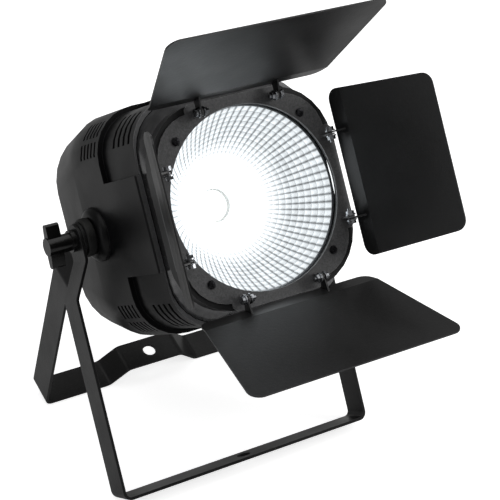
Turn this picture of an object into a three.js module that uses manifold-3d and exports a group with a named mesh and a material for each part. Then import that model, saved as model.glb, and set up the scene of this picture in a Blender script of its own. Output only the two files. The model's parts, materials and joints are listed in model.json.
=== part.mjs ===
// Stage par can with four barn doors on a two-piece floor bracket.
// Millimetres, +Z up, the lamp looks towards -Y, all pieces in the pose it stands in.
import * as THREE from 'three';
import { mergeVertices } from 'three/addons/utils/BufferGeometryUtils.js';
import Module from 'manifold-3d';

const wasm = await Module();
wasm.setup();

// ---- driving dimensions -------------------------------------------------------------------
const PIVOT_HEIGHT = 231.9;        // floor to the tilt axis
const HEAD_TILT = 30;              // degrees the lamp looks up
const PLATE_TO_PIVOT = 150.6;      // door plate's front face to the tilt axis
const GAP = 0.3;                   // clearance between pieces that touch

const PLATE_HALF = 88;
const PLATE_CORNER = 42;
const TAB_REACH = 96;
const TAB_HALF = 50;
const PLATE_THICK = 1.5;
const APERTURE_R = 86.4;
const SCREW_AT = 66;               // the four plate screws stand on a 132 mm square
const SCREW_R = 1.99;
const SCREW_HOLE_R = 2.3;

const FRAME_HALF = 95.5;
const FRAME_CORNER = 56;
const FRAME_BACK = -14;
const FRAME_FRONT = -PLATE_THICK - GAP;
const FRAME_LIP = 1.6;             // front wall of the frame, the glass sits behind it
const FRAME_SIDE = 2.2;
const FRAME_BORE_R = 88;

const SHELL_FRONT = -33;
const SHELL_END = -244;
const SHELL_HALF_W = 98;
const SHELL_HALF_H = 112;
const SHELL_CORNER = 48;
const WALL = 2.6;
const PAD_SINK = 5;
const PAD_END = -105.6;
const PAD_FROM_Y = 45.5;
const PAD_FROM_X = 36;
const COVER_END = -262;
const BOSS_OUT = 105.8;            // face of the round boss the friction disc bears on

const DISH_MOUTH = -8.7;
const DISH_NECK = -85;
const DISH_MOUTH_R = 85.4;
const DISH_NECK_R = 16.5;
const DISH_WALL = 1.2;
const SINK_FRONT = -95;

const HINGE_R = 86.6;              // door hinge line, out from the optical axis
const HINGE_Z = 11.6;              // and forward of the plate
const HINGE_AT = 39.5;             // hinges at plus and minus this along each side
const LUG_STEP = 1.9;              // from the plate's ear to the door's lug beside it
const LUG_R = 4;                   // rounded ends of the hinge ears and lugs
const HINGE_BOLT_R = 1.99;
const HINGE_HOLE_R = 2.3;
const EAR_THICK = 1.5;
const DOOR_THICK = 1.5;
const DOOR_OFFSET = 9.1;           // the sheet lies this far outside its hinge line
const DOOR_START = -1.3;           // inner edge, measured out from the hinge line
const DOOR_FOLD = 15.7;            // the inner band is folded away along this line
const FOLD_ANGLE = 13;
const DOOR_CORNER = 11;
const FOOT_REACH = 12;             // how far out along the band a door's lug is joined

const BAR_THICK = 3;
const FRONT_BAR_W = 31;
const REAR_BAR_W = 33;
const FRONT_LEAN = -28.5;          // degrees from vertical, forward is negative
const REAR_LEAN = 20.6;
const BOLT_R = 5;
const BOLT_HOLE_R = 5.3;
const DISC_OUT = 116;              // outer face of the friction disc
const KNOB_LONG = 29;
const WING_TURN = 10;              // degrees the knob's wings lean at rest

// ---- helpers ------------------------------------------------------------------------------
const rad = (d) => (d * Math.PI) / 180;

function solid(geometry) {
  const g = geometry.index ? geometry.toNonIndexed() : geometry.clone();
  g.deleteAttribute('normal');
  g.deleteAttribute('uv');
  const m = mergeVertices(g, 1e-4);
  const mesh = new wasm.Mesh({
    numProp: 3,
    vertProperties: new Float32Array(m.attributes.position.array),
    triVerts: new Uint32Array(m.index.array),
  });
  mesh.merge();
  return new wasm.Manifold(mesh);
}

function geometryOf(body) {
  const mesh = body.getMesh();
  const g = new THREE.BufferGeometry();
  g.setAttribute('position', new THREE.BufferAttribute(new Float32Array(mesh.vertProperties), 3));
  g.setIndex(new THREE.BufferAttribute(new Uint32Array(mesh.triVerts), 1));
  const flat = g.toNonIndexed();
  flat.computeVertexNormals();
  return flat;
}

function box(x0, x1, y0, y1, z0, z1) {
  const g = new THREE.BoxGeometry(x1 - x0, y1 - y0, z1 - z0);
  return solid(g.translate((x0 + x1) / 2, (y0 + y1) / 2, (z0 + z1) / 2));
}

// A round bar along z, x or y between two stations.
function rod(r, from, to, a, b, axis, sides) {
  const g = new THREE.CylinderGeometry(r, r, to - from, sides);
  if (axis === 'z') {
    g.rotateX(Math.PI / 2);
    g.translate(a, b, (from + to) / 2);
  } else if (axis === 'x') {
    g.rotateZ(Math.PI / 2);
    g.translate((from + to) / 2, a, b);
  } else {
    g.translate(a, (from + to) / 2, b);
  }
  return solid(g);
}

// Turned body from [radius, station] pairs, its axis along z.
function lathe(profile, sides) {
  const pts = profile.map((p) => new THREE.Vector2(p[0], p[1]));
  if (THREE.ShapeUtils.area(pts) < 0) pts.reverse();
  return new THREE.LatheGeometry([...pts, pts[0].clone()], sides);
}

function turned(profile, sides) {
  return solid(lathe(profile, sides).rotateX(Math.PI / 2));
}

function roundedRect(hw, hh, r, steps) {
  const pts = [];
  const corners = [[hw - r, hh - r, 0], [r - hw, hh - r, 90], [r - hw, r - hh, 180], [hw - r, r - hh, 270]];
  for (const [cx, cy, a0] of corners) {
    for (let i = 0; i <= steps; i += 1) {
      const a = rad(a0 + (90 * i) / steps);
      pts.push([cx + r * Math.cos(a), cy + r * Math.sin(a)]);
    }
  }
  return pts;
}

function unit(x, y) {
  const l = Math.hypot(x, y);
  return [x / l, y / l];
}

// Points of the arc of radius r that rounds the corner at p between a and c.
function roundedCorner(a, p, c, r, step) {
  const u = unit(a[0] - p[0], a[1] - p[1]);
  const v = unit(c[0] - p[0], c[1] - p[1]);
  const half = Math.acos(u[0] * v[0] + u[1] * v[1]) / 2;
  const back = r / Math.tan(half);
  const reach = r / Math.sin(half);
  const mid = unit(u[0] + v[0], u[1] + v[1]);
  const centre = [p[0] + mid[0] * reach, p[1] + mid[1] * reach];
  const start = Math.atan2(p[1] + u[1] * back - centre[1], p[0] + u[0] * back - centre[0]);
  let sweep = Math.atan2(p[1] + v[1] * back - centre[1], p[0] + v[0] * back - centre[0]) - start;
  if (sweep > Math.PI) sweep -= 2 * Math.PI;
  if (sweep < -Math.PI) sweep += 2 * Math.PI;
  const n = Math.max(2, Math.ceil(Math.abs(sweep) / rad(step)));
  const arc = [];
  for (let k = 0; k <= n; k += 1) {
    const t = start + (sweep * k) / n;
    arc.push([centre[0] + r * Math.cos(t), centre[1] + r * Math.sin(t)]);
  }
  return arc;
}

// Body skinned through sections [z, outline], all outlines convex with the same point count.
function skinned(sections) {
  const n = sections[0][1].length;
  const verts = [];
  for (const [z, pts] of sections) {
    for (const p of pts) verts.push(p[0], p[1], z);
  }
  const tri = [];
  for (let s = 0; s < sections.length - 1; s += 1) {
    for (let i = 0; i < n; i += 1) {
      const j = (i + 1) % n;
      const a = s * n + i;
      const b = s * n + j;
      tri.push(a, b, b + n, a, b + n, a + n);
    }
  }
  const last = (sections.length - 1) * n;
  for (let i = 1; i < n - 1; i += 1) {
    tri.push(0, i + 1, i);
    tri.push(last, last + i, last + i + 1);
  }
  const g = new THREE.BufferGeometry();
  g.setAttribute('position', new THREE.BufferAttribute(new Float32Array(verts), 3));
  g.setIndex(tri);
  return solid(g);
}

function prism(points, z0, z1) {
  const shape = new THREE.Shape(points.map((p) => new THREE.Vector2(p[0], p[1])));
  const g = new THREE.ExtrudeGeometry(shape, { depth: z1 - z0, bevelEnabled: false });
  return solid(g.translate(0, 0, z0));
}

// Sector of a ring about (cx, cy), used to cut the cooling slots.
function sector(cx, cy, r0, r1, a0, a1, z0, z1, steps) {
  const pts = [];
  for (let i = 0; i <= steps; i += 1) {
    const a = rad(a0 + ((a1 - a0) * i) / steps);
    pts.push([cx + r1 * Math.cos(a), cy + r1 * Math.sin(a)]);
  }
  for (let i = steps; i >= 0; i -= 1) {
    const a = rad(a0 + ((a1 - a0) * i) / steps);
    pts.push([cx + r0 * Math.cos(a), cy + r0 * Math.sin(a)]);
  }
  return prism(pts, z0, z1);
}

const join = (parts) => parts.reduce((a, b) => a.add(b));
const mirrorX = (b) => b.mirror([1, 0, 0]);
const mirrorY = (b) => b.mirror([0, 1, 0]);

const headMatrix = new THREE.Matrix4()
  .makeTranslation(0, 0, PIVOT_HEIGHT)
  .multiply(new THREE.Matrix4().makeRotationX(rad(90 - HEAD_TILT)))
  .multiply(new THREE.Matrix4().makeTranslation(0, 0, PLATE_TO_PIVOT));

const root = new THREE.Group();
root.name = 'par_can';

const finishes = {
  housing_black: [0x17181a, 0.0, 0.5],
  powder_black: [0x1b1c1e, 0.0, 0.62],
  plate_grey: [0x2b2c2e, 0.3, 0.5],
  satin_alloy: [0xb9bcc0, 1.0, 0.32],
  zinc: [0x9a9da1, 1.0, 0.4],
  dark_screw: [0x2a2b2d, 1.0, 0.4],
  reflector_silver: [0xe6e8ea, 1.0, 0.15],
  clear_glass: [0xf2f6f8, 0.0, 0.05],
  rubber: [0x121212, 0.0, 0.85],
  knob_black: [0x0e0f10, 0.0, 0.3],
  ceramic: [0xe8e6df, 0.0, 0.5],
  phosphor: [0xfff3c4, 0.0, 0.6],
  raw_alloy: [0xa9adb2, 1.0, 0.45],
  fan_black: [0x151617, 0.0, 0.55],
  board_green: [0x1f4a2e, 0.0, 0.5],
  display_dark: [0x0a0d12, 0.0, 0.1],
  socket_black: [0x101113, 0.0, 0.45],
};

function put(name, body, finish, matrix) {
  const g = geometryOf(body);
  if (matrix) g.applyMatrix4(matrix);
  const [color, metalness, roughness] = finishes[finish];
  const material = new THREE.MeshStandardMaterial({ color, metalness, roughness });
  material.name = finish;
  if (finish === 'clear_glass') {
    material.transparent = true;
    material.opacity = 0.25;
  }
  const mesh = new THREE.Mesh(g, material);
  mesh.name = name;
  root.add(mesh);
}
const head = (name, body, finish) => put(name, body, finish, headMatrix);

// ---- housing shell ------------------------------------------------------------------------
const STEPS = 7;
const rr = (hw, hh, r) => roundedRect(hw, hh, r, STEPS);

function padRegion(grow) {
  const quarter = box(PAD_FROM_X - grow, 140, PAD_FROM_Y - grow, 140, PAD_END - grow, 0);
  return join([quarter, mirrorX(quarter), mirrorY(quarter), mirrorX(mirrorY(quarter))]);
}

function padCut(inset, grow) {
  const outer = box(-140, 140, -140, 140, PAD_END - grow, 0);
  const keep = skinned([
    [PAD_END - grow - 1, rr(SHELL_HALF_W - inset, SHELL_HALF_H - inset, SHELL_CORNER - inset)],
    [1, rr(SHELL_HALF_W - inset, SHELL_HALF_H - inset, SHELL_CORNER - inset)],
  ]);
  return outer.subtract(keep).intersect(padRegion(grow));
}

function shellSlots() {
  const cx = SHELL_HALF_W - SHELL_CORNER;
  const cy = SHELL_HALF_H - SHELL_CORNER;
  const cuts = [];
  for (let i = 0; i < 4; i += 1) {
    const z = -42 - i * 11.4;
    cuts.push(sector(cx, cy, 33, 60, 15, 61, z - 4.6, z, 4));
  }
  for (let i = 0; i < 5; i += 1) {
    const z = -112 - i * 8.2;
    cuts.push(sector(cx, cy, 33, 60, 10, 28, z - 3.6, z, 2));
    cuts.push(sector(cx, cy, 33, 60, 34, 56, z - 3.6, z, 2));
  }
  const quarter = join(cuts);
  return join([quarter, mirrorX(quarter), mirrorY(quarter), mirrorX(mirrorY(quarter))]);
}

const outerShell = skinned([
  [SHELL_END, rr(89.8, 105.6, 58)],
  [-172, rr(SHELL_HALF_W, SHELL_HALF_H, SHELL_CORNER)],
  [SHELL_FRONT - 1.5, rr(SHELL_HALF_W, SHELL_HALF_H, SHELL_CORNER)],
  [SHELL_FRONT, rr(SHELL_HALF_W - 1.5, SHELL_HALF_H - 1.5, SHELL_CORNER - 1.5)],
]);
const innerShell = skinned([
  [SHELL_END - 1, rr(87.1, 102.9, 55.3)],
  [-172, rr(SHELL_HALF_W - WALL, SHELL_HALF_H - WALL, SHELL_CORNER - WALL)],
  [-44, rr(SHELL_HALF_W - WALL, SHELL_HALF_H - WALL, SHELL_CORNER - WALL)],
]);
const mouth = skinned([
  [-46, rr(91.4, 104.4, 46)],
  [SHELL_FRONT + 1, rr(91.4, 104.4, 46)],
]);
const PIVOT_Z = -PLATE_TO_PIVOT;
const turnedX = (profile, sides) => (
  solid(lathe(profile, sides).rotateZ(-Math.PI / 2).translate(0, 0, PIVOT_Z)));
const bossRight = turnedX([
  [27, 95.6], [27, 99], [26.2, 101.8], [24.2, 104], [21.4, 105.4], [18, BOSS_OUT], [0, BOSS_OUT], [0, 95.6],
], 36);

let shell = outerShell
  .subtract(padCut(PAD_SINK, 0))
  .subtract(innerShell.subtract(padCut(PAD_SINK + WALL, WALL)))
  .subtract(mouth);
shell = shell.subtract(shellSlots());
shell = join([shell, bossRight, mirrorX(bossRight)]);
shell = shell.subtract(rod(BOLT_HOLE_R, -110, 110, 0, PIVOT_Z, 'x', 20));
head('housing_shell', shell, 'housing_black');

// ---- rear cover and what is set into it ---------------------------------------------------
const coverOuter = skinned([
  [COVER_END, rr(77, 92, 46)],
  [-256, rr(84, 99.5, 52)],
  [SHELL_END - GAP, rr(89.7, 105.5, 58)],
]);
const coverInner = skinned([
  [COVER_END + WALL, rr(75, 90, 44)],
  [-255, rr(80.6, 96.2, 48.8)],
  [SHELL_END + 1, rr(86.8, 102.7, 55.2)],
]);
const DISPLAY_Y = 52;
const BUTTON_Y = 32;
const BUTTON_XS = [-24, -8, 8, 24];
const SOCKET_Y = -8;
const SOCKET_X = 38;
const POWER_Y = -58;
const POWER_X = -26;
const FUSE_X = 30;
let cover = coverOuter.subtract(coverInner)
  .subtract(box(-30.3, 30.3, DISPLAY_Y - 9.3, DISPLAY_Y + 9.3, -270, -250))
  .subtract(box(POWER_X - 14.3, POWER_X + 14.3, POWER_Y - 10.8, POWER_Y + 10.8, -270, -250))
  .subtract(rod(7.3, -270, -250, FUSE_X, POWER_Y, 'z', 20));
for (const x of BUTTON_XS) cover = cover.subtract(rod(4.2, -270, -250, x, BUTTON_Y, 'z', 16));
for (const x of [-SOCKET_X, SOCKET_X]) cover = cover.subtract(rod(11.8, -270, -250, x, SOCKET_Y, 'z', 24));
for (let i = -3; i <= 3; i += 1) {
  cover = cover.subtract(box(i * 6 - 1.5, i * 6 + 1.5, -22, 12, -270, -250));
}
head('rear_cover', cover, 'housing_black');

const displayWindow = box(-30, 30, DISPLAY_Y - 9, DISPLAY_Y + 9, COVER_END - 0.6, COVER_END + 4);
head('display_window', displayWindow, 'display_dark');

BUTTON_XS.forEach((x, i) => {
  const cap = rod(3.9, COVER_END - 2, COVER_END + 3, x, BUTTON_Y, 'z', 16);
  const collar = rod(5.4, COVER_END + WALL + GAP, COVER_END + WALL + GAP + 1.5, x, BUTTON_Y, 'z', 16);
  head(`menu_button_${i + 1}`, cap.add(collar), 'socket_black');
});

function dataSocket(x, pins) {
  const flange = prism(roundedRect(13, 15.5, 3, 3), COVER_END - GAP - 2, COVER_END - GAP)
    .add(rod(11.5, COVER_END - GAP - 1, COVER_END + 16, 0, 0, 'z', 24))
    .subtract(rod(8.6, COVER_END - 6, COVER_END + 11, 0, 0, 'z', 20));
  const contacts = [90, 210, 330].map((a) => [4 * Math.cos(rad(a)), 4 * Math.sin(rad(a))]);
  let body = flange;
  if (pins) {
    for (const [px, py] of contacts) {
      body = body.add(rod(1.1, COVER_END + 1, COVER_END + 12, px, py, 'z', 8));
    }
  } else {
    body = body.add(rod(7, COVER_END - 1, COVER_END + 12, 0, 0, 'z', 20));
    for (const [px, py] of contacts) {
      body = body.subtract(rod(1.2, COVER_END - 2, COVER_END + 8, px, py, 'z', 8));
    }
  }
  return body.translate([x, SOCKET_Y, 0]);
}
head('data_in_socket', dataSocket(-SOCKET_X, true), 'socket_black');
head('data_out_socket', dataSocket(SOCKET_X, false), 'socket_black');

let inlet = prism(roundedRect(18.5, 13.5, 3, 3), COVER_END - GAP - 2.2, COVER_END - GAP)
  .add(prism(roundedRect(14, 10.5, 3, 3), COVER_END - GAP - 1, COVER_END + 20))
  .subtract(prism(roundedRect(11.5, 8, 3, 3), COVER_END - 6, COVER_END + 14));
for (const [px, py] of [[0, 3], [-6, -2], [6, -2]]) {
  inlet = inlet.add(box(px - 1, px + 1, py - 2.2, py + 2.2, COVER_END + 1, COVER_END + 15));
}
head('power_inlet', inlet.translate([POWER_X, POWER_Y, 0]), 'socket_black');

const fuse = rod(10, COVER_END - GAP - 6, COVER_END - GAP, 0, 0, 'z', 24)
  .add(rod(7, COVER_END - GAP - 1, COVER_END + 22, 0, 0, 'z', 20))
  .subtract(box(-5, 5, -0.8, 0.8, COVER_END - 8, COVER_END - 4.6));
head('fuse_holder', fuse.translate([FUSE_X, POWER_Y, 0]), 'socket_black');

// The loop for a safety wire, bent from round bar, its feet against the cover.
const EYE_Y = 76;
const eyePts = [];
eyePts.push(new THREE.Vector3(-13, 0, 0));
for (let i = 0; i <= 8; i += 1) {
  const a = rad(180 - (180 * i) / 8);
  eyePts.push(new THREE.Vector3(13 * Math.cos(a), 0, -6 - 13 * Math.sin(a)));
}
eyePts.push(new THREE.Vector3(13, 0, 0));
const eyeCurve = new THREE.CatmullRomCurve3(eyePts, false, 'centripetal');
const circle = new THREE.Shape(Array.from({ length: 8 }, (_, i) => (
  new THREE.Vector2(2.6 * Math.cos((i * Math.PI) / 4), 2.6 * Math.sin((i * Math.PI) / 4)))));
const eyeGeo = new THREE.ExtrudeGeometry(circle, { steps: 12, extrudePath: eyeCurve, bevelEnabled: false });
let eye = solid(eyeGeo).translate([0, EYE_Y, COVER_END - 2.5]);
eye = join([eye, rod(5.5, COVER_END - 3, COVER_END - GAP, -13, EYE_Y, 'z', 14)]);
eye = join([eye, rod(5.5, COVER_END - 3, COVER_END - GAP, 13, EYE_Y, 'z', 14)]);
head('safety_eye', eye, 'zinc');

// ---- front: bezel ring, door holder frame, glass ------------------------------------------
const bezelOuter = skinned([
  [-44, rr(91.1, 104.1, 45.7)],
  [-33, rr(91.1, 104.1, 45.7)],
  [FRAME_BACK - GAP, rr(91.1, 93.5, 54)],
]);
const bezelInner = skinned([
  [-45, rr(89.1, 102.1, 43.7)],
  [-33, rr(89.1, 102.1, 43.7)],
  [FRAME_BACK, rr(89.1, 91.5, 52)],
]);
head('bezel_ring', bezelOuter.subtract(bezelInner), 'satin_alloy');

const screwAt = [[SCREW_AT, SCREW_AT], [-SCREW_AT, SCREW_AT], [-SCREW_AT, -SCREW_AT], [SCREW_AT, -SCREW_AT]];
const frameInside = FRAME_HALF - FRAME_SIDE;
const frameRoom = rr(frameInside, frameInside, FRAME_CORNER - FRAME_SIDE);
let frame = prism(rr(FRAME_HALF, FRAME_HALF, FRAME_CORNER), FRAME_BACK, FRAME_FRONT)
  .subtract(prism(frameRoom, FRAME_BACK - 1, FRAME_FRONT - FRAME_LIP))
  .subtract(rod(FRAME_BORE_R, FRAME_BACK - 1, 1, 0, 0, 'z', 60));
for (const [x, y] of screwAt) frame = frame.subtract(rod(SCREW_HOLE_R, FRAME_BACK - 1, 1, x, y, 'z', 12));
head('holder_frame', frame, 'powder_black');

const GASKET_FRONT = FRAME_FRONT - FRAME_LIP - GAP;
const GASKET_BACK = GASKET_FRONT - 1.4;
const GLASS_THICK = 3;
const gasketProfile = [[88.3, GASKET_BACK], [90.8, GASKET_BACK], [90.8, GASKET_FRONT], [88.3, GASKET_FRONT]];
head('glass_gasket', turned(gasketProfile, 44), 'rubber');
const GLASS_FRONT = GASKET_BACK - GAP;
head('cover_glass', rod(90.5, GLASS_FRONT - GLASS_THICK, GLASS_FRONT, 0, 0, 'z', 44), 'clear_glass');

// ---- optics and cooling -------------------------------------------------------------------
const dish = [];
const dishBack = [];
for (let i = 0; i <= 5; i += 1) {
  const t = i / 5;
  const r = DISH_NECK_R + (DISH_MOUTH_R - DISH_NECK_R) * t;
  const z = DISH_NECK + (DISH_MOUTH - DISH_NECK) * (0.38 * t + 0.62 * t * t);
  dish.push([r, z]);
  dishBack.unshift([r + DISH_WALL, z - DISH_WALL]);
}
const flange = [[87.9, DISH_MOUTH], [87.9, DISH_MOUTH - 1.4]];
const dishProfile = [...dish, ...flange, ...dishBack, [DISH_NECK_R, DISH_NECK - DISH_WALL]];
head('reflector', turned(dishProfile, 36), 'reflector_silver');

const RETAINER_BACK = SINK_FRONT + 2.7;
const RETAINER_FRONT = DISH_NECK - DISH_WALL - GAP;
const retainerProfile = [
  [15, RETAINER_BACK], [27, RETAINER_BACK], [27, RETAINER_FRONT], [18, RETAINER_FRONT], [15, -89],
];
head('led_retainer', turned(retainerProfile, 28), 'ceramic');
head('led_board', box(-23, 23, -23, 23, SINK_FRONT + GAP, RETAINER_BACK - GAP), 'ceramic');
head('led_emitter', rod(14.5, RETAINER_BACK, RETAINER_BACK + 1.1, 0, 0, 'z', 28), 'phosphor');

let fins = box(-80, 80, -80, 80, -103, SINK_FRONT);
for (let i = -7; i <= 7; i += 1) fins = fins.add(box(i * 10.5 - 1, i * 10.5 + 1, -80, 80, -149, -100));
head('heat_sink', fins.intersect(rod(78, -150, SINK_FRONT, 0, 0, 'z', 48)), 'raw_alloy');

const FAN_FRONT = -149 - GAP;
let fan = prism(roundedRect(46, 46, 5, 3), FAN_FRONT - 25, FAN_FRONT)
  .subtract(rod(43.5, -180, -140, 0, 0, 'z', 40));
fan = fan.add(rod(17, FAN_FRONT - 25, FAN_FRONT - 22.5, 0, 0, 'z', 24));
fan = fan.add(box(-44.5, 44.5, -2, 2, FAN_FRONT - 25, FAN_FRONT - 22.8));
fan = fan.add(box(-2, 2, -44.5, 44.5, FAN_FRONT - 25, FAN_FRONT - 22.8));
for (const [x, y] of [[1, 1], [-1, 1], [-1, -1], [1, -1]]) {
  fan = fan.subtract(rod(2.2, -180, -140, x * 41, y * 41, 'z', 10));
}
head('fan_frame', fan, 'fan_black');

const ROTOR_BACK = FAN_FRONT - 22.2;
const hubProfile = [
  [0, ROTOR_BACK], [18, ROTOR_BACK], [18, FAN_FRONT - 4], [16, FAN_FRONT - 2], [0, FAN_FRONT - 2],
];
let rotor = turned(hubProfile, 24);
for (let i = 0; i < 7; i += 1) {
  const blade = new THREE.BoxGeometry(25, 20, 1.6);
  blade.rotateX(rad(38));
  blade.translate(29.2, 0, FAN_FRONT - 12);
  blade.rotateZ(rad((360 * i) / 7));
  rotor = rotor.add(solid(blade));
}
rotor = rotor.intersect(rod(41.8, -180, -140, 0, 0, 'z', 40));
head('fan_rotor', rotor, 'fan_black');

let power = box(-70, 70, -76, 20, -194, -192.4);
power = power.add(box(-38, 4, -58, -18, -224, -193.8));
power = power.add(rod(12, -226, -193.8, 30, -50, 'z', 20));
power = power.add(rod(8, -220, -193.8, 54, -22, 'z', 16));
power = power.add(rod(8, -220, -193.8, 30, -18, 'z', 16));
power = power.add(box(-62, -46, -66, -10, -216, -193.8));
power = power.add(box(-30, 20, -8, 10, -208, -193.8));
head('power_board', power, 'board_green');

let control = box(-52, 52, 22, 70, -250.5, -248.9);
control = control.add(box(-28, 28, DISPLAY_Y - 8, DISPLAY_Y + 8, -256.5, -250.3));
control = control.add(box(-40, -22, 46, 62, -249.1, -245.5));
control = control.add(box(10, 34, 44, 58, -249.1, -246.5));
for (const x of BUTTON_XS) control = control.add(box(x - 3, x + 3, BUTTON_Y - 3, BUTTON_Y + 3, -255.4, -250.3));
head('control_board', control, 'board_green');

// ---- barn door plate, screws, hinges and doors --------------------------------------------
const sideTurn = { right: 0, top: 90, left: 180, bottom: 270 };
const ringHole = rod(APERTURE_R, -5, 5, 0, 0, 'z', 60);
let plate = prism(rr(PLATE_HALF, PLATE_HALF, PLATE_CORNER), -PLATE_THICK, 0);
for (const side of Object.keys(sideTurn)) {
  const tab = prism([[60, -TAB_HALF], [TAB_REACH - 4, -TAB_HALF], [TAB_REACH, 4 - TAB_HALF],
    [TAB_REACH, TAB_HALF - 4], [TAB_REACH - 4, TAB_HALF], [60, TAB_HALF]], -PLATE_THICK, 0);
  plate = plate.add(tab.rotate([0, 0, sideTurn[side]]));
}
plate = plate.subtract(ringHole);
for (const side of Object.keys(sideTurn)) {
  for (const s of [-1, 1]) {
    const near = s * HINGE_AT - EAR_THICK / 2;
    const far = near + EAR_THICK;
    const ear = box(HINGE_R - LUG_R, HINGE_R + LUG_R, near, far, -1, HINGE_Z)
      .add(rod(LUG_R, near, far, HINGE_R, HINGE_Z, 'y', 14))
      .subtract(rod(HINGE_HOLE_R, near - 1, far + 1, HINGE_R, HINGE_Z, 'y', 10));
    plate = plate.add(ear.rotate([0, 0, sideTurn[side]]));
  }
}
for (const [x, y] of screwAt) plate = plate.subtract(rod(SCREW_HOLE_R, -20, 1, x, y, 'z', 12));
head('door_plate', plate, 'plate_grey');

screwAt.forEach(([x, y], i) => {
  const profile = [[0, -11], [SCREW_R, -11], [SCREW_R, GAP], [4.1, GAP], [4.1, 1.1], [3.1, 2.2], [0, 2.5]];
  let screw = turned(profile, 14);
  screw = screw.subtract(box(-2.2, 2.2, -0.45, 0.45, 1.3, 4)).subtract(box(-0.45, 0.45, -2.2, 2.2, 1.3, 4));
  head(`plate_screw_${i + 1}`, screw.translate([x, y, 0]), 'dark_screw');
});

// A door in its own frame: s out from the hinge line along x, l along y, n up from the sheet along z.
// Its inner band is folded back, and two lugs stand up from the band to the hinge line.
function door(innerHalf, outerHalf, end) {
  const outline = [[DOOR_START, -innerHalf], [end, -outerHalf], [end, outerHalf], [DOOR_START, innerHalf]];
  const rounded = outline.flatMap((p, i) => (
    roundedCorner(outline[(i + 3) % 4], p, outline[(i + 1) % 4], DOOR_CORNER, 18)));
  const sheet = prism(rounded, -DOOR_THICK / 2, DOOR_THICK / 2);
  const band = sheet.subtract(box(DOOR_FOLD + 0.3, 200, -200, 200, -5, 5))
    .translate([-DOOR_FOLD, 0, 0])
    .rotate([0, -FOLD_ANGLE, 0])
    .translate([DOOR_FOLD, 0, 0]);
  let body = sheet.subtract(box(-200, DOOR_FOLD, -200, 200, -5, 5)).add(band)
    .translate([0, 0, -DOOR_OFFSET]);
  const bandAt = (s) => -DOOR_OFFSET - (DOOR_FOLD - s) * Math.tan(rad(FOLD_ANGLE));
  for (const s of [-1, 1]) {
    const middle = s * (HINGE_AT + LUG_STEP);
    const near = middle - EAR_THICK / 2;
    const far = middle + EAR_THICK / 2;
    const footSide = [[-LUG_R, 0], [0, bandAt(0)], [FOOT_REACH, bandAt(FOOT_REACH)], [LUG_R, 0]];
    body = body.add(prism(footSide, -far, -near).rotate([90, 0, 0]))
      .add(rod(LUG_R, near, far, 0, 0, 'y', 14))
      .subtract(rod(HINGE_HOLE_R, near - 1, far + 1, 0, 0, 'y', 10));
  }
  return body;
}
// Each door stands turned up from the plate's plane by its own angle.
const doors = {
  top: [67.4, 90.5, 112.5, 124.8],
  bottom: [59.4, 90.5, 112.5, 125.7],
  right: [64, 81, 72.7, 112.2],
  left: [65.9, 81, 72.7, 112],
};
for (const [side, [open, innerHalf, outerHalf, end]] of Object.entries(doors)) {
  const body = door(innerHalf, outerHalf, end)
    .rotate([0, -open, 0])
    .translate([HINGE_R, 0, HINGE_Z])
    .rotate([0, 0, sideTurn[side]]);
  head(`door_${side}`, body, 'powder_black');
  [-1, 1].forEach((s, i) => {
    // Along the hinge line from the middle of the side: nut, ear, lug, washer, head.
    const along = (r, from, to, sides) => {
      const a = s * (HINGE_AT + from);
      const b = s * (HINGE_AT + to);
      return rod(r, Math.min(a, b), Math.max(a, b), HINGE_R, HINGE_Z, 'y', sides);
    };
    const lugOut = LUG_STEP + EAR_THICK / 2;
    const bolt = along(HINGE_BOLT_R, -7.6, lugOut + 1, 10)
      .add(along(5, lugOut + GAP, lugOut + GAP + 1.1, 16))
      .add(along(4, lugOut + GAP + 1, lugOut + GAP + 4, 10));
    head(`hinge_bolt_${side}_${i + 1}`, bolt.rotate([0, 0, sideTurn[side]]), 'zinc');
    const nut = along(3.9, -5.2, -2.1, 6)
      .add(along(5, -2.3, -1.05, 16))
      .subtract(along(2.05, -9, 0, 10));
    head(`hinge_nut_${side}_${i + 1}`, nut.rotate([0, 0, sideTurn[side]]), 'zinc');
  });
}

// ---- tilt bolts, friction discs, brackets and knobs ---------------------------------------
const DISC_IN = BOSS_OUT + GAP;
const REAR_ARM_IN = DISC_OUT + GAP;
const FRONT_ARM_IN = REAR_ARM_IN + BAR_THICK + GAP;
const KNOB_IN = FRONT_ARM_IN + BAR_THICK + GAP;
const FRONT_FOOT_OUT = 141.6;
const REAR_FOOT_OUT = 130.2;

for (const [name, flip] of [['left', true], ['right', false]]) {
  const place = (b) => (flip ? mirrorX(b) : b);
  const bolt = rod(9.2, 86.5, 95.4 - GAP, 0, PIVOT_Z, 'x', 6).add(rod(BOLT_R, 94, 143.9, 0, PIVOT_Z, 'x', 20));
  head(`tilt_bolt_${name}`, place(bolt), 'zinc');
  const disc = turnedX([[BOLT_HOLE_R, DISC_IN], [18, DISC_IN], [19, DISC_IN + 1.2], [19, DISC_OUT - 2.4],
    [17.6, DISC_OUT], [BOLT_HOLE_R, DISC_OUT]], 24);
  head(`friction_disc_${name}`, place(disc), 'rubber');
}

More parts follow.
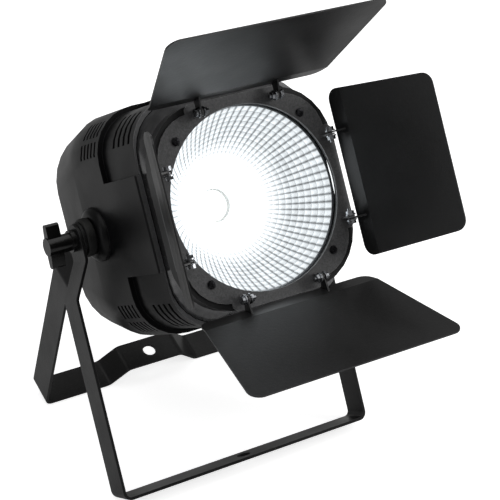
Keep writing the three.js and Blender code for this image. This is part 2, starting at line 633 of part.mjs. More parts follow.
// Flat bar bent through points in the x-z plane, its corners rounded, cut to length by its outline.
function bentBar(points, radii, thick, width) {
  const centre = [];
  points.forEach((p, i) => {
    if (i === 0 || i === points.length - 1 || radii[i] === 0) {
      centre.push(p);
      return;
    }
    centre.push(...roundedCorner(points[i - 1], p, points[i + 1], radii[i], 15));
  });
  const left = [];
  const right = [];
  centre.forEach((p, i) => {
    const a = centre[Math.max(0, i - 1)];
    const c = centre[Math.min(centre.length - 1, i + 1)];
    const d0 = i > 0 ? unit(p[0] - a[0], p[1] - a[1]) : unit(c[0] - p[0], c[1] - p[1]);
    const d1 = i < centre.length - 1 ? unit(c[0] - p[0], c[1] - p[1]) : d0;
    const n = unit(-(d0[1] + d1[1]), d0[0] + d1[0]);
    const h = thick / 2 / (n[0] * -d0[1] + n[1] * d0[0]);
    left.push([p[0] + n[0] * h, p[1] + n[1] * h]);
    right.unshift([p[0] - n[0] * h, p[1] - n[1] * h]);
  });
  const shape = new THREE.Shape([...left, ...right].map((q) => new THREE.Vector2(q[0], q[1])));
  const g = new THREE.ExtrudeGeometry(shape, { depth: width, bevelEnabled: false });
  g.translate(0, 0, -width / 2);
  g.rotateX(Math.PI / 2);
  return solid(g);
}

// Side outline of a bracket: full width below, a half round over the tilt axis.
function armOutline(width, depth) {
  const pts = [[-width / 2, -depth - 20], [width / 2, -depth - 20]];
  for (let i = 0; i <= 14; i += 1) {
    const a = rad((180 * i) / 14);
    pts.push([(width / 2) * Math.cos(a), (width / 2) * Math.sin(a)]);
  }
  const shape = new THREE.Shape(pts.map((q) => new THREE.Vector2(q[0], q[1])));
  const g = new THREE.ExtrudeGeometry(shape, { depth: 400, bevelEnabled: false });
  g.translate(0, 0, -200);
  g.applyMatrix4(new THREE.Matrix4().makeBasis(
    new THREE.Vector3(0, 1, 0), new THREE.Vector3(0, 0, 1), new THREE.Vector3(1, 0, 0)));
  return solid(g);
}

function bracket(half, radii, thick, width, depth, holeR) {
  const rightSide = half;
  const leftSide = half.slice().reverse().map((p) => [-p[0], p[1]]);
  const points = [...leftSide, ...rightSide];
  const all = [...radii.slice().reverse(), ...radii];
  let body = bentBar(points, all, thick, width).intersect(armOutline(width, depth));
  body = body.subtract(rod(BOLT_HOLE_R, -160, 160, 0, 0, 'x', 20));
  return body.subtract(rod(holeR, -depth - 10, -depth + 40, 0, 0, 'z', 24));
}

const FRONT_DEPTH = 255.4;
const fa = FRONT_ARM_IN + BAR_THICK / 2;
const ff = FRONT_FOOT_OUT - BAR_THICK / 2;
const frontBracket = bracket(
  [[ff, -FRONT_DEPTH + BAR_THICK / 2], [ff, -55], [fa, -21], [fa, 40]],
  [7, 8, 8, 0], BAR_THICK, FRONT_BAR_W, FRONT_DEPTH, 7);
const REAR_DEPTH = 241.5;
const ra = REAR_ARM_IN + BAR_THICK / 2;
const rf = REAR_FOOT_OUT - BAR_THICK / 2;
const rearFloor = -REAR_DEPTH + BAR_THICK / 2;
const RAISE = 17;
const rearBracket = bracket(
  [[32, rearFloor + RAISE], [53, rearFloor], [rf, rearFloor], [rf, -50], [ra, -27], [ra, 40]],
  [10, 10, 7, 8, 8, 0], BAR_THICK, REAR_BAR_W, REAR_DEPTH, 7);

const leanMatrix = (deg) => new THREE.Matrix4()
  .makeTranslation(0, 0, PIVOT_HEIGHT)
  .multiply(new THREE.Matrix4().makeRotationX(rad(deg)));
put('front_bracket', frontBracket, 'powder_black', leanMatrix(FRONT_LEAN));
put('rear_bracket', rearBracket, 'powder_black', leanMatrix(REAR_LEAN));

// Clamp knob: a round hub with two flat wings near its end, threaded on the tilt bolt.
const wing = prism([[-5, 0], [-4.4, 12], [-3.4, 20], [-1.6, 21.5], [1.6, 21.5], [3.4, 20], [4.4, 12], [5, 0]],
  KNOB_LONG - 15, KNOB_LONG - 1);
const knobLocal = rod(11, 0, 5, 0, 0, 'z', 24)
  .add(rod(9, 0, KNOB_LONG, 0, 0, 'z', 24))
  .add(wing)
  .add(wing.rotate([0, 0, 180]))
  .subtract(rod(BOLT_HOLE_R, -1, 21.5, 0, 0, 'z', 20));
for (const [name, flip] of [['left', true], ['right', false]]) {
  const body = knobLocal.rotate([0, 0, WING_TURN]).rotate([0, 90, 0]).translate([KNOB_IN, 0, PIVOT_Z]);
  head(`clamp_knob_${name}`, flip ? mirrorX(body) : body, 'knob_black');
}

// ---- stand the lamp with the middle of its box over the origin, its feet at zero ----------
const bounds = new THREE.Box3().setFromObject(root);
const shift = [-(bounds.min.x + bounds.max.x) / 2, -(bounds.min.y + bounds.max.y) / 2, -bounds.min.z];
root.children.forEach((m) => m.geometry.translate(...shift));

export default root;
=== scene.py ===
import json
import math

import bmesh
import bpy
from mathutils import Matrix, Vector

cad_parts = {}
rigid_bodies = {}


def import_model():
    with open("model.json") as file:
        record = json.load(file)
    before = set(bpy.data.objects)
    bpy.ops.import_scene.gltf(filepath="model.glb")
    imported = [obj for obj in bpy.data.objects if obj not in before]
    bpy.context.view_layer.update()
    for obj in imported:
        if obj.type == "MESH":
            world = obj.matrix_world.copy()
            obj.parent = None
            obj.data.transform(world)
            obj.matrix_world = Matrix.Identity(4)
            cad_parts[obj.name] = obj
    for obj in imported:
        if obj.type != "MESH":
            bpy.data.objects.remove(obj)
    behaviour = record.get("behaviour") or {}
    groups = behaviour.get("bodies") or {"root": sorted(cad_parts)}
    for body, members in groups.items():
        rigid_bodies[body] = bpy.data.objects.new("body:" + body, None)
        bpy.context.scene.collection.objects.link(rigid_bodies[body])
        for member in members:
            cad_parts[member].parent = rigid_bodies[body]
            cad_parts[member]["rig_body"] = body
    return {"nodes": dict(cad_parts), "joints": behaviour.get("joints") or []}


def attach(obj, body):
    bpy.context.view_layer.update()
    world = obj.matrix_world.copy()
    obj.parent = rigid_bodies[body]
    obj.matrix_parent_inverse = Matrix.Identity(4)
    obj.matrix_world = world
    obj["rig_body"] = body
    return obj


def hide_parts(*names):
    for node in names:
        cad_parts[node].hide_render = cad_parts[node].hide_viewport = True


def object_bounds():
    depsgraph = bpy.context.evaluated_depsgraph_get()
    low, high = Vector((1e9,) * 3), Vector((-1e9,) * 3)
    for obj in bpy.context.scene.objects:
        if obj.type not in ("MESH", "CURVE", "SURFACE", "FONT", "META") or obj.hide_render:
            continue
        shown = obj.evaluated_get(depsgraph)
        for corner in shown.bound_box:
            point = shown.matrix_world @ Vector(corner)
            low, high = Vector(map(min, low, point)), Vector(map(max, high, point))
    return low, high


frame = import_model()
cad_low, cad_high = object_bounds()
nodes = frame["nodes"]
MM = 0.001

# Each frame part's finish is named by the slot it was packed with.
slot_of = {name: part.data.materials[0].name for name, part in nodes.items()}
for part in nodes.values():
    part.data.materials.clear()
for spare in list(bpy.data.materials):
    bpy.data.materials.remove(spare)

# ---- the lamp's own frame: x to the right, y up its face, z out of its mouth ----------------
tilt = next(j for j in frame["joints"] if j["name"] == "head_tilt")
PIVOT = Vector(tilt["pos_m"])
LOOKS_UP = math.radians(30)
lamp = Matrix.Translation(PIVOT) @ Matrix.Rotation(math.pi / 2 - LOOKS_UP, 4, "X")
into_lamp = lamp.inverted()


def span(node):
    """Lowest and highest corner of a frame part, measured in the lamp's own frame."""
    points = [into_lamp @ v.co for v in nodes[node].data.vertices]
    low = Vector([min(p[i] for p in points) for i in range(3)])
    high = Vector([max(p[i] for p in points) for i in range(3)])
    return low, high


# ---- camera -----------------------------------------------------------------------------------
eye = bpy.data.cameras.new("eye")
eye.lens = 116.9
eye.sensor_width = 36
eye.clip_start = 0.05
eye.clip_end = 30
camera = bpy.data.objects.new("eye", eye)
bpy.context.scene.collection.objects.link(camera)
STANDS = Vector((-0.710, -1.166, 0.991))
AIMS = Vector((0.4669, 0.7369, -0.4888)).normalized()
ROLL = math.radians(1.55)
camera.rotation_mode = "QUATERNION"
camera.location = STANDS
level = AIMS.to_track_quat("-Z", "Y")
camera.rotation_quaternion = level @ Matrix.Rotation(ROLL, 3, "Z").to_quaternion()
bpy.context.scene.camera = camera
bpy.context.scene.view_settings.view_transform = "Standard"


# ---- node tools -------------------------------------------------------------------------------
class Sheet:
    """A node tree with short ways to add nodes and join them."""

    def __init__(self, tree):
        self.tree = tree

    def add(self, kind, inputs=None, **settings):
        node = self.tree.nodes.new(kind)
        for key, value in settings.items():
            setattr(node, key, value)
        for key, value in (inputs or {}).items():
            if isinstance(value, bpy.types.NodeSocket):
                self.tree.links.new(value, node.inputs[key])
            else:
                node.inputs[key].default_value = value
        return node

    def math(self, operation, a, b=0.0, clamp=False):
        return self.add("ShaderNodeMath", {0: a, 1: b}, operation=operation, use_clamp=clamp).outputs[0]

    def length(self, a, b):
        return self.math("SQRT", self.math("ADD", self.math("MULTIPLY", a, a), self.math("MULTIPLY", b, b)))

    def seam(self, count):
        """One on each whole number of count, falling to zero halfway between."""
        off_middle = self.math("SUBTRACT", self.math("FRACT", count), 0.5)
        return self.math("MULTIPLY", self.math("ABSOLUTE", off_middle), 2.0)

    def blend(self, amount, a, b):
        node = self.add("ShaderNodeMix", data_type="RGBA")
        for key, value in ((0, amount), (6, a), (7, b)):
            if isinstance(value, bpy.types.NodeSocket):
                self.tree.links.new(value, node.inputs[key])
            else:
                node.inputs[key].default_value = value
        return node.outputs[2]

    def ramp(self, value, low, high, out_low=0.0, out_high=1.0):
        return self.add("ShaderNodeMapRange", {
            "Value": value, "From Min": low, "From Max": high, "To Min": out_low, "To Max": out_high,
        }, interpolation_type="SMOOTHSTEP").outputs[0]

    def noise(self, where, scale, detail=2.0, roughness=0.5):
        return self.add("ShaderNodeTexNoise", {
            "Vector": where, "Scale": scale, "Detail": detail, "Roughness": roughness,
        }).outputs["Fac"]


def effect(name, inputs, outputs):
    """A shared effect: a node group with named inputs and outputs."""
    tree = bpy.data.node_groups.new(name, "ShaderNodeTree")
    for label, kind, value in inputs:
        socket = tree.interface.new_socket(label, in_out="INPUT", socket_type=kind)
        socket.default_value = value
    for label, kind in outputs:
        tree.interface.new_socket(label, in_out="OUTPUT", socket_type=kind)
    sheet = Sheet(tree)
    return sheet, sheet.add("NodeGroupInput").outputs, sheet.add("NodeGroupOutput").inputs


FLOAT = "NodeSocketFloat"
COLOUR = "NodeSocketColor"
NORMAL = "NodeSocketVector"

# Powder coat and cast grain: small beads, soft waves between them.
s, given, out = effect("coat_grain", [
    ("Bead", FLOAT, 900.0), ("Wave", FLOAT, 120.0), ("Depth", FLOAT, 0.2),
], [("Normal", NORMAL), ("Tone", FLOAT)])
where = s.add("ShaderNodeTexCoord").outputs["Object"]
beads = s.add("ShaderNodeTexVoronoi", {
    "Vector": where, "Scale": given["Bead"]}, feature="SMOOTH_F1").outputs["Distance"]
waves = s.noise(where, given["Wave"], 3.0, 0.55)
height = s.math("ADD", s.math("MULTIPLY", beads, 0.45), waves)
bump = s.add("ShaderNodeBump", {"Strength": given["Depth"], "Distance": 0.0003, "Height": height})
s.tree.links.new(bump.outputs[0], out["Normal"])
s.tree.links.new(s.math("ADD", s.math("MULTIPLY", beads, 0.5), s.math("MULTIPLY", waves, 0.5)), out["Tone"])
coat_grain = s.tree

# Rubbed edges: where a rounded edge turns away from the flat, broken up by patches.
s, given, out = effect("rubbed_edges", [
    ("Reach", FLOAT, 0.0009), ("Amount", FLOAT, 1.0),
], [("Mask", FLOAT)])
where = s.add("ShaderNodeTexCoord").outputs["Object"]
rounded = s.add("ShaderNodeBevel", {"Radius": given["Reach"]}, samples=4).outputs[0]
flat = s.add("ShaderNodeNewGeometry").outputs["Normal"]
turned = s.add("ShaderNodeVectorMath", {0: rounded, 1: flat}, operation="DOT_PRODUCT").outputs["Value"]
turned = s.math("SUBTRACT", 1.0, turned)
patches = s.ramp(s.noise(where, 60.0, 4.0, 0.7), 0.38, 0.7)
broken = s.math("MULTIPLY", s.ramp(turned, 0.01, 0.2), s.math("ADD", patches, 0.25))
mask = s.math("MULTIPLY", broken, given["Amount"], clamp=True)
s.tree.links.new(mask, out["Mask"])
rubbed_edges = s.tree

# Hands and dust: wide soft changes in shine and a little settled dust on faces that look up.
s, given, out = effect("handling", [
    ("Wide", FLOAT, 14.0), ("Dust", FLOAT, 0.1),
], [("Shine", FLOAT), ("Dust", FLOAT)])
where = s.add("ShaderNodeTexCoord").outputs["Object"]
shine = s.noise(where, given["Wide"], 3.0, 0.6)
looks = s.add("ShaderNodeSeparateXYZ", {0: s.add("ShaderNodeNewGeometry").outputs["Normal"]}).outputs[2]
specks = s.ramp(s.noise(where, 420.0, 4.0, 0.8), 0.5, 0.8)
veil = s.ramp(looks, 0.2, 1.0)
dust = s.math("MULTIPLY", s.math("MULTIPLY", veil, s.math("ADD", specks, 0.3)), given["Dust"], clamp=True)
s.tree.links.new(shine, out["Shine"])
s.tree.links.new(dust, out["Dust"])
handling = s.tree


def surface(name):
    material = bpy.data.materials.new(name)
    material.use_nodes = True
    material.node_tree.nodes.clear()
    sheet = Sheet(material.node_tree)
    body = sheet.add("ShaderNodeBsdfPrincipled")
    end = sheet.add("ShaderNodeOutputMaterial")
    sheet.tree.links.new(body.outputs[0], end.inputs["Surface"])
    return material, sheet, body, end


def shade(colour):
    return (*colour, 1.0)


DUST_TONE = (0.30, 0.29, 0.27)


def coated(name, colour, light, rough, bead=900.0, wave=120.0, depth=0.2, rub=0.5,
           rubbed=(0.10, 0.10, 0.105), dust=0.05, level=0.35, metal=0.0):
    """Paint, powder coat or moulded plastic with grain, rubbed edges and settled dust."""
    material, sheet, body, _ = surface(name)
    grain = sheet.add("ShaderNodeGroup", node_tree=coat_grain)
    grain.inputs["Bead"].default_value = bead
    grain.inputs["Wave"].default_value = wave
    grain.inputs["Depth"].default_value = depth
    edges = sheet.add("ShaderNodeGroup", node_tree=rubbed_edges)
    edges.inputs["Amount"].default_value = rub
    hands = sheet.add("ShaderNodeGroup", node_tree=handling)
    hands.inputs["Dust"].default_value = dust
    toned = sheet.blend(grain.outputs["Tone"], shade(colour), shade(light))
    worn = sheet.blend(edges.outputs["Mask"], toned, shade(rubbed))
    dusty = sheet.blend(hands.outputs["Dust"], worn, shade(DUST_TONE))
    sheet.tree.links.new(dusty, body.inputs["Base Color"])
    spread = sheet.ramp(hands.outputs["Shine"], 0.3, 0.7, rough - 0.05, rough + 0.06)
    spread = sheet.math("SUBTRACT", spread, sheet.math("MULTIPLY", edges.outputs["Mask"], 0.12))
    sheet.tree.links.new(sheet.math("MAXIMUM", spread, 0.05), body.inputs["Roughness"])
    sheet.tree.links.new(grain.outputs["Normal"], body.inputs["Normal"])
    body.inputs["Specular IOR Level"].default_value = level
    body.inputs["Metallic"].default_value = metal
    return material


def metal(name, colour, dark, rough, scale=260.0, depth=0.05, streak=(1.0, 1.0, 1.0)):
    """Bare or plated metal with fine lines, small stains and uneven shine."""
    material, sheet, body, _ = surface(name)
    where = sheet.add("ShaderNodeTexCoord").outputs["Object"]
    drawn = sheet.add("ShaderNodeMapping", {"Vector": where, "Scale": streak}).outputs[0]
    lines = sheet.noise(drawn, scale, 5.0, 0.65)
    stains = sheet.noise(where, 45.0, 3.0, 0.6)
    tone = sheet.blend(sheet.ramp(stains, 0.35, 0.7), shade(colour), shade(dark))
    sheet.tree.links.new(tone, body.inputs["Base Color"])
    spread = sheet.ramp(lines, 0.3, 0.7, rough - 0.06, rough + 0.08)
    sheet.tree.links.new(spread, body.inputs["Roughness"])
    bump = sheet.add("ShaderNodeBump", {"Strength": depth, "Distance": 0.0002, "Height": lines})
    sheet.tree.links.new(bump.outputs[0], body.inputs["Normal"])
    body.inputs["Metallic"].default_value = 1.0
    return material


housing_black = coated(
    "housing_black", (0.002, 0.002, 0.0022), (0.0045, 0.0045, 0.005), 0.34,
    bead=1500.0, wave=260.0, depth=0.12, rub=0.3, dust=0.02, level=0.14)
powder_black = coated(
    "powder_black", (0.0035, 0.0035, 0.0038), (0.0085, 0.0085, 0.009), 0.34,
    bead=1100.0, wave=420.0, depth=0.3, rub=0.7, level=0.24)
leaf_black = coated(
    "leaf_black", (0.006, 0.006, 0.0063), (0.014, 0.014, 0.0145), 0.36,
    bead=1100.0, wave=300.0, depth=0.3, rub=0.6, level=0.4)
plate_grey = coated(
    "plate_grey", (0.02, 0.02, 0.0205), (0.15, 0.15, 0.153), 0.36,
    bead=700.0, wave=260.0, depth=0.5, rub=0.9, rubbed=(0.3, 0.3, 0.3), level=0.4)
# The lip's lighter grey is a painted highlight on the forward faces, in part a barer metal finish.
lip_highlight_grey = coated(
    "lip_highlight_grey", (0.10, 0.10, 0.102), (0.20, 0.20, 0.205), 0.34,
    bead=700.0, wave=160.0, depth=0.2, rub=0.8, rubbed=(0.4, 0.4, 0.4), level=0.5, metal=0.55)
knob_black = coated(
    "knob_black", (0.002, 0.002, 0.002), (0.004, 0.004, 0.004), 0.2,
    bead=1500.0, wave=200.0, depth=0.05, rub=0.15, level=0.32)
rubber = coated(
    "rubber", (0.003, 0.003, 0.003), (0.007, 0.007, 0.007), 0.5,
    bead=1800.0, wave=300.0, depth=0.25, rub=0.15, level=0.22, dust=0.08)
socket_black = coated(
    "socket_black", (0.004, 0.004, 0.0045), (0.008, 0.008, 0.009), 0.38,
    bead=1600.0, wave=300.0, depth=0.12, rub=0.3, level=0.3)
fan_black = coated(
    "fan_black", (0.005, 0.005, 0.006), (0.012, 0.012, 0.013), 0.5,
    bead=1400.0, wave=300.0, depth=0.1, rub=0.2, level=0.3)
ceramic = coated(
    "ceramic", (0.72, 0.71, 0.66), (0.82, 0.81, 0.77), 0.4,
    bead=1400.0, wave=300.0, depth=0.08, rub=0.0, level=0.5)
satin_alloy = metal("satin_alloy", (0.16, 0.16, 0.163), (0.09, 0.09, 0.092), 0.2, scale=180.0, depth=0.06)
zinc = metal("zinc", (0.42, 0.43, 0.45), (0.10, 0.105, 0.11), 0.22, scale=700.0, depth=0.25)
dark_screw = metal("dark_screw", (0.035, 0.035, 0.038), (0.015, 0.015, 0.016), 0.3, scale=900.0, depth=0.1)
raw_alloy = metal("raw_alloy", (0.66, 0.67, 0.69), (0.5, 0.5, 0.52), 0.38, scale=300.0, depth=0.1,
                  streak=(1.0, 12.0, 12.0))


def board():
    material, sheet, body, _ = surface("board_green")
    where = sheet.add("ShaderNodeTexCoord").outputs["Object"]
    tracks = sheet.add("ShaderNodeTexBrick", {
        "Vector": where, "Scale": 220.0, "Mortar Size": 0.03, "Mortar Smooth": 0.2,
        "Color1": shade((0.012, 0.07, 0.025)), "Color2": shade((0.016, 0.09, 0.034)),
        "Mortar": shade((0.03, 0.16, 0.06)),
    }).outputs["Color"]
    sheet.tree.links.new(tracks, body.inputs["Base Color"])
    sheet.tree.links.new(sheet.ramp(sheet.noise(where, 300.0), 0.3, 0.7, 0.3, 0.45), body.inputs["Roughness"])
    return material


def display():
    material, sheet, body, _ = surface("display_dark")
    where = sheet.add("ShaderNodeTexCoord").outputs["Object"]
    cells = sheet.add("ShaderNodeTexChecker", {"Vector": where, "Scale": 900.0,
                                               "Color1": shade((0.004, 0.006, 0.012)),
                                               "Color2": shade((0.006, 0.009, 0.016))}).outputs["Color"]
    sheet.tree.links.new(cells, body.inputs["Base Color"])
    sheet.tree.links.new(sheet.ramp(sheet.noise(where, 30.0), 0.3, 0.7, 0.05, 0.12), body.inputs["Roughness"])
    return material


board_green = board()
display_dark = display()

# Painted glow in the dish: emission standing for the emitter's light reflected by the silver, full beside the
# emitter, broken into the dish's own cells towards the mouth.
SPOKES = 72
RINGS = 15
RING_EASE = 0.8
# MOUTH_SHARE sets the painted glow of a cell at the mouth.
MOUTH_SHARE = 0.46                    # light of a cell at the mouth, against one beside the emitter
dish_low, dish_high = span("reflector")
NECK_R = 16.5 * MM
FLANGE = 2.5 * MM
MOUTH_R = dish_high.x - FLANGE
s, given, out = effect("dish_painted_glow", [
    ("Near", FLOAT, 0.022), ("Far", FLOAT, 0.082),
], [("Painted Glow", COLOUR), ("Painted Cell Light", FLOAT)])
where = s.add("ShaderNodeTexCoord").outputs["Object"]
turned_back = s.add("ShaderNodeMapping", {
    "Vector": where, "Location": PIVOT, "Rotation": (math.pi / 2 - LOOKS_UP, 0.0, 0.0),
}, vector_type="TEXTURE").outputs[0]
across, up_face, out_of = s.add("ShaderNodeSeparateXYZ", {0: turned_back}).outputs
centre_way = s.length(across, up_face)
climb = s.math("SUBTRACT", out_of, span("led_emitter")[1].z)
away = s.length(centre_way, climb)
# Painted pool of light: the glow is full beside the emitter and falls to the cell pattern by Far.
open_part = s.ramp(away, given["Near"], given["Far"])
spoke = s.math("MULTIPLY", s.math("ARCTAN2", up_face, across), SPOKES / (2 * math.pi))
reach = s.math("DIVIDE", s.math("SUBTRACT", centre_way, NECK_R), MOUTH_R - NECK_R, clamp=True)
ring = s.math("MULTIPLY", s.math("POWER", reach, 1 / RING_EASE), RINGS)
# Painted seam shade: dark lines along the spokes and rings between the bright painted cells.
spoke_dark = s.ramp(s.seam(spoke), 0.35, 1.0, 0.0, 0.80)
ring_dark = s.ramp(s.seam(ring), 0.65, 1.0, 0.0, 0.36)
painted_cell_light = s.math("SUBTRACT", 1.0, s.math("MAXIMUM", spoke_dark, ring_dark))
painted_cell_light = s.math("MULTIPLY", painted_cell_light, s.ramp(s.noise(where, 90.0, 2.0), 0.3, 0.75, 0.82, 1.0))
drop = s.math("SUBTRACT", s.math("MULTIPLY", painted_cell_light, MOUTH_SHARE), 1.0)
level = s.math("ADD", s.math("MULTIPLY", drop, open_part), 1.0)
s.tree.links.new(s.blend(level, shade((0.0, 0.0, 0.0)), shade((0.96, 0.98, 1.0))), out["Painted Glow"])
s.tree.links.new(painted_cell_light, out["Painted Cell Light"])
dish_painted_glow = s.tree


def dish_silver_painted_glow(name, tone_low, tone_high, rough, strength):
    """Metallised plastic of the dish, with the emitter's light painted on as a glow and a lighter base in the
    painted cells.
    """
    material, sheet, body, _ = surface(name)
    where = sheet.add("ShaderNodeTexCoord").outputs["Object"]
    glow = sheet.add("ShaderNodeGroup", node_tree=dish_painted_glow)
    # Painted reflection: the base is lighter where the painted cells are bright, mixed with small stains.
    stains = sheet.math("MULTIPLY", sheet.noise(where, 60.0, 3.0, 0.6), glow.outputs["Painted Cell Light"])
    sheet.tree.links.new(sheet.blend(stains, shade(tone_low), shade(tone_high)), body.inputs["Base Color"])
    spread = sheet.ramp(sheet.noise(where, 900.0), 0.3, 0.7, rough, rough + 0.1)
    sheet.tree.links.new(spread, body.inputs["Roughness"])
    sheet.tree.links.new(glow.outputs["Painted Glow"], body.inputs["Emission Color"])
    body.inputs["Emission Strength"].default_value = strength
    body.inputs["Metallic"].default_value = 1.0
    return material


def lit_phosphor():
    material, sheet, body, _ = surface("phosphor")
    where = sheet.add("ShaderNodeTexCoord").outputs["Object"]
    dots = sheet.add("ShaderNodeTexVoronoi", {"Vector": where, "Scale": 260.0}).outputs["Distance"]
    tone = sheet.blend(sheet.ramp(dots, 0.2, 0.6), shade((1.0, 0.98, 0.94)), shade((0.86, 0.92, 1.0)))
    sheet.tree.links.new(tone, body.inputs["Base Color"])
    sheet.tree.links.new(tone, body.inputs["Emission Color"])
    body.inputs["Emission Strength"].default_value = 4.0
    return material


def window_glass():
    material, sheet, body, end = surface("clear_glass")
    where = sheet.add("ShaderNodeTexCoord").outputs["Object"]
    body.inputs["Base Color"].default_value = shade((0.9, 0.95, 0.98))
    body.inputs["Metallic"].default_value = 1.0
    wiped = sheet.ramp(sheet.noise(where, 30.0, 3.0), 0.3, 0.7, 0.0, 0.03)
    sheet.tree.links.new(wiped, body.inputs["Roughness"])
    clear = sheet.add("ShaderNodeBsdfTransparent", {"Color": shade((0.97, 0.985, 0.99))})
    slant = sheet.add("ShaderNodeLayerWeight", {"Blend": 0.5}).outputs["Facing"]
    shine = sheet.math("ADD", sheet.math("MULTIPLY", sheet.math("POWER", slant, 5.0), 0.9), 0.03)
    mix = sheet.add("ShaderNodeMixShader")
    sheet.tree.links.new(shine, mix.inputs[0])
    sheet.tree.links.new(clear.outputs[0], mix.inputs[1])
    sheet.tree.links.new(body.outputs[0], mix.inputs[2])
    sheet.tree.links.new(mix.outputs[0], end.inputs["Surface"])
    return material


# Both dish finishes carry the painted glow; the seam finish is a darker, dimmer copy, a painted shade between
# the cells.
reflector_silver = dish_silver_painted_glow("reflector_silver", (0.16, 0.165, 0.17), (0.42, 0.43, 0.44), 0.22, 2.0)
dish_seam_shaded_glow = dish_silver_painted_glow("dish_seam_shaded_glow", (0.10, 0.105, 0.11), (0.22, 0.225, 0.23), 0.32, 1.5)
phosphor = lit_phosphor()
clear_glass = window_glass()

finishes = {m.name: m for m in (
    housing_black, powder_black, plate_grey, leaf_black, lip_highlight_grey, knob_black, rubber, socket_black,
    fan_black, ceramic, satin_alloy, zinc, dark_screw, raw_alloy, board_green, display_dark,
    reflector_silver, dish_seam_shaded_glow, phosphor, clear_glass)}

for name, part in nodes.items():
    part.data.materials.append(finishes[slot_of[name]])


# ---- mesh tools -------------------------------------------------------------------------------
def piece(name, bm, finish, body, smooth=40.0, place=None):
    """A finished piece: its place in its mesh, faces out, edges sharper than smooth degrees kept crisp."""
    if place is not None:
        bmesh.ops.transform(bm, matrix=place, verts=bm.verts)
    bmesh.ops.recalc_face_normals(bm, faces=bm.faces)
    for f in bm.faces:
        f.smooth = True
    for e in bm.edges:
        e.smooth = e.calc_face_angle(0.0) < math.radians(smooth)
    mesh = bpy.data.meshes.new(name)
    bm.to_mesh(mesh)
    bm.free()
    mesh.materials.append(finishes[finish])
    made = bpy.data.objects.new(name, mesh)
    bpy.context.scene.collection.objects.link(made)
    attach(made, body)
    return made


def soft_edges(made, width, segments=2, angle=38.0):
    bevel = made.modifiers.new("soft edges", "BEVEL")
    bevel.width = width
    bevel.segments = segments
    bevel.limit_method = "ANGLE"
    bevel.angle_limit = math.radians(angle)
    bevel.harden_normals = True
    bevel.use_clamp_overlap = True
    bevel.miter_outer = "MITER_SHARP"
    even = made.modifiers.new("even shading", "WEIGHTED_NORMAL")
    even.keep_sharp = True
    return made


def softened(node, name, width, finish=None, smooth=34.0, segments=2):
    """A frame part drawn again with merged corners, smooth curves and rounded edges."""
    bm = bmesh.new()
    bm.from_mesh(nodes[node].data)
    bmesh.ops.remove_doubles(bm, verts=bm.verts, dist=2e-6)
    bmesh.ops.dissolve_limit(bm, angle_limit=math.radians(0.5), verts=bm.verts, edges=bm.edges)
    made = piece(name, bm, finish or slot_of[node], nodes[node]["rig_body"], smooth=smooth)
    soft_edges(made, width, segments)
    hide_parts(node)
    return made


def ring_profile(bm, points, steps, axis=(0, 0, 1)):
    """Turns a closed outline of (radius, station) round the lamp's axis."""
    verts = [bm.verts.new((r, 0.0, z)) for r, z in points]
    edges = [bm.edges.new((verts[i - 1], verts[i])) for i in range(len(verts))]
    bmesh.ops.spin(
        bm, geom=verts + edges, cent=(0, 0, 0), axis=axis, angle=2 * math.pi, steps=steps, use_merge=True)
    bmesh.ops.remove_doubles(bm, verts=bm.verts, dist=1e-6)


# ---- parts drawn again with rounded edges -------------------------------------------------------
shell_skin = softened("housing_shell", "shell_skin", 0.0009)


def front_faces(made, finish, behind):
    """Paints a second, lighter finish on the faces that look out of the lamp, no further back than behind: on
    the shell's lip a painted highlight, in part a barer metal finish.
    """
    made.data.materials.append(finishes[finish])
    turn = into_lamp.to_3x3()
    for f in made.data.polygons:
        looks_out = (turn @ f.normal).z > 0.9
        if looks_out and (into_lamp @ f.center).z > behind:
            f.material_index = 1


LIP_DEPTH = 22 * MM
front_faces(shell_skin, "lip_highlight_grey", span("holder_frame")[0].z - LIP_DEPTH)
softened("rear_cover", "cover_skin", 0.0007)
softened("bezel_ring", "bezel_skin", 0.0003)
softened("holder_frame", "holder_skin", 0.0004)
softened("door_plate", "plate_skin", 0.0003)
softened("front_bracket", "front_bar", 0.0006)
softened("rear_bracket", "rear_bar", 0.0006)
for side in ("right", "top", "left", "bottom"):
    softened(f"door_{side}", f"leaf_{side}", 0.0004, "leaf_black", smooth=10.0)
for side in ("left", "right"):
    softened(f"clamp_knob_{side}", f"wing_knob_{side}", 0.0012)
    softened(f"friction_disc_{side}", f"rubber_disc_{side}", 0.0009)

# ---- reflector: turned dish, each facet a small raised cushion ----------------------------------
WALL = 1.2 * MM
mouth_z = dish_high.z
neck_z = dish_low.z + WALL


STRAIGHT, BOWED = 0.38, 0.62          # shares of a plain cone and of a bowl in the dish's curve
# The seam finish on the cushions' borders is a painted shade between the cells.
SILVER, SHADED_SEAM, RAW = 0, 1, 2           # the dish's finishes, in the order that it is given them
CUSHION_GAP = 0.30 * MM
CUSHION_RISE = 0.22 * MM


def dish_point(t):
    climb = STRAIGHT * t + BOWED * t * t
    return NECK_R + (MOUTH_R - NECK_R) * t, neck_z + (mouth_z - neck_z) * climb


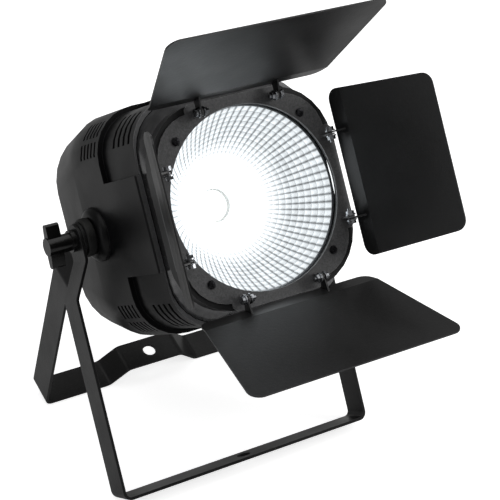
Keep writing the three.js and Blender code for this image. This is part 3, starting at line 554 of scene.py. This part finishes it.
inside = [dish_point((i / RINGS) ** RING_EASE) for i in range(RINGS + 1)]
outside = [(r + WALL, z - WALL) for r, z in inside[::3]]
flange = [(MOUTH_R + FLANGE, mouth_z), (MOUTH_R + FLANGE, mouth_z - WALL)]
bm = bmesh.new()
ring_profile(bm, inside + flange + outside[::-1][1:], SPOKES)
bmesh.ops.recalc_face_normals(bm, faces=bm.faces)
facets = []
for f in bm.faces:
    c = f.calc_center_median()
    if f.normal.z > 0.05 and math.hypot(c.x, c.y) < MOUTH_R and c.z > neck_z:
        facets.append(f)
for f in bm.faces:
    f.material_index = RAW
for f in facets:
    f.material_index = SHADED_SEAM
bmesh.ops.inset_individual(bm, faces=facets, thickness=CUSHION_GAP, depth=CUSHION_RISE)
for f in facets:
    f.material_index = SILVER
dish = piece("faceted_dish", bm, "reflector_silver", "head", smooth=60.0, place=lamp)
dish.data.materials.append(finishes["dish_seam_shaded_glow"])
dish.data.materials.append(finishes["raw_alloy"])
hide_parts("reflector")

# A dull black sleeve lines the frame's bore, from just in front of the glass: a dark sheet that keeps the
# crescent inside the mouth dark, a painted shade.
sleeve_back = span("cover_glass")[1].z + 0.3 * MM
sleeve_front = span("holder_frame")[1].z - 0.6 * MM
SLEEVE_IN = 87.0 * MM
SLEEVE_OUT = 87.8 * MM
SLEEVE_STEPS = 96
bm = bmesh.new()
ring_profile(bm, [
    (SLEEVE_IN, sleeve_back), (SLEEVE_OUT, sleeve_back),
    (SLEEVE_OUT, sleeve_front), (SLEEVE_IN, sleeve_front)], SLEEVE_STEPS)
piece("bore_shade_sleeve", bm, "rubber", "head", place=lamp)

# ---- floor and light ----------------------------------------------------------------------------
bm = bmesh.new()
bmesh.ops.create_grid(bm, x_segments=24, y_segments=24, size=7.0)
for v in bm.verts:
    v.co.y += 3.0
bmesh.ops.recalc_face_normals(bm, faces=bm.faces)
floor_mesh = bpy.data.meshes.new("studio_floor")
bm.to_mesh(floor_mesh)
bm.free()
floor = bpy.data.objects.new("studio_floor", floor_mesh)
bpy.context.scene.collection.objects.link(floor)
floor_paint, sheet, body, end = surface("studio_floor")
where = sheet.add("ShaderNodeTexCoord").outputs["Object"]
tone = sheet.blend(sheet.noise(where, 3.0, 3.0), shade((0.90, 0.90, 0.90)), shade((0.93, 0.93, 0.93)))
sheet.tree.links.new(tone, body.inputs["Base Color"])
sheet.tree.links.new(sheet.ramp(sheet.noise(where, 12.0), 0.3, 0.7, 0.75, 0.85), body.inputs["Roughness"])
body.inputs["Specular IOR Level"].default_value = 0.1
sight = sheet.add("ShaderNodeLightPath").outputs["Is Camera Ray"]
lift = sheet.add("ShaderNodeEmission", {
    "Color": shade((1.0, 1.0, 1.0)), "Strength": sheet.math("MULTIPLY", sight, 0.75)})
both = sheet.add("ShaderNodeAddShader", {0: body.outputs[0], 1: lift.outputs[0]})
sheet.tree.links.new(both.outputs[0], end.inputs["Surface"])
floor.data.materials.append(floor_paint)

world = bpy.data.worlds.new("studio")
bpy.context.scene.world = world
world.use_nodes = True
sky = Sheet(world.node_tree)
backdrop = world.node_tree.nodes["Background"]
backdrop.inputs["Color"].default_value = (1.0, 1.0, 1.0, 1.0)
seen = sky.add("ShaderNodeLightPath").outputs["Is Camera Ray"]
sky.tree.links.new(sky.math("ADD", sky.math("MULTIPLY", seen, 0.78), 0.22), backdrop.inputs["Strength"])


def softbox(name, place, aim, wide, tall, power):
    light = bpy.data.lights.new(name, "AREA")
    light.shape = "RECTANGLE"
    light.size = wide
    light.size_y = tall
    light.energy = power
    lamp_object = bpy.data.objects.new(name, light)
    lamp_object.location = place
    lamp_object.rotation_mode = "QUATERNION"
    lamp_object.rotation_quaternion = (Vector(aim) - Vector(place)).to_track_quat("-Z", "Y")
    bpy.context.scene.collection.objects.link(lamp_object)
    return lamp_object


MIDDLE = (cad_low + cad_high) / 2
softbox("overhead", (0.1, -0.2, 2.6), MIDDLE, 3.2, 3.2, 36)
softbox("left_wall", (-2.2, -0.2, 1.0), MIDDLE, 0.6, 2.0, 5)
softbox("right_wall", (1.9, -1.3, 1.1), MIDDLE, 1.0, 1.8, 20)
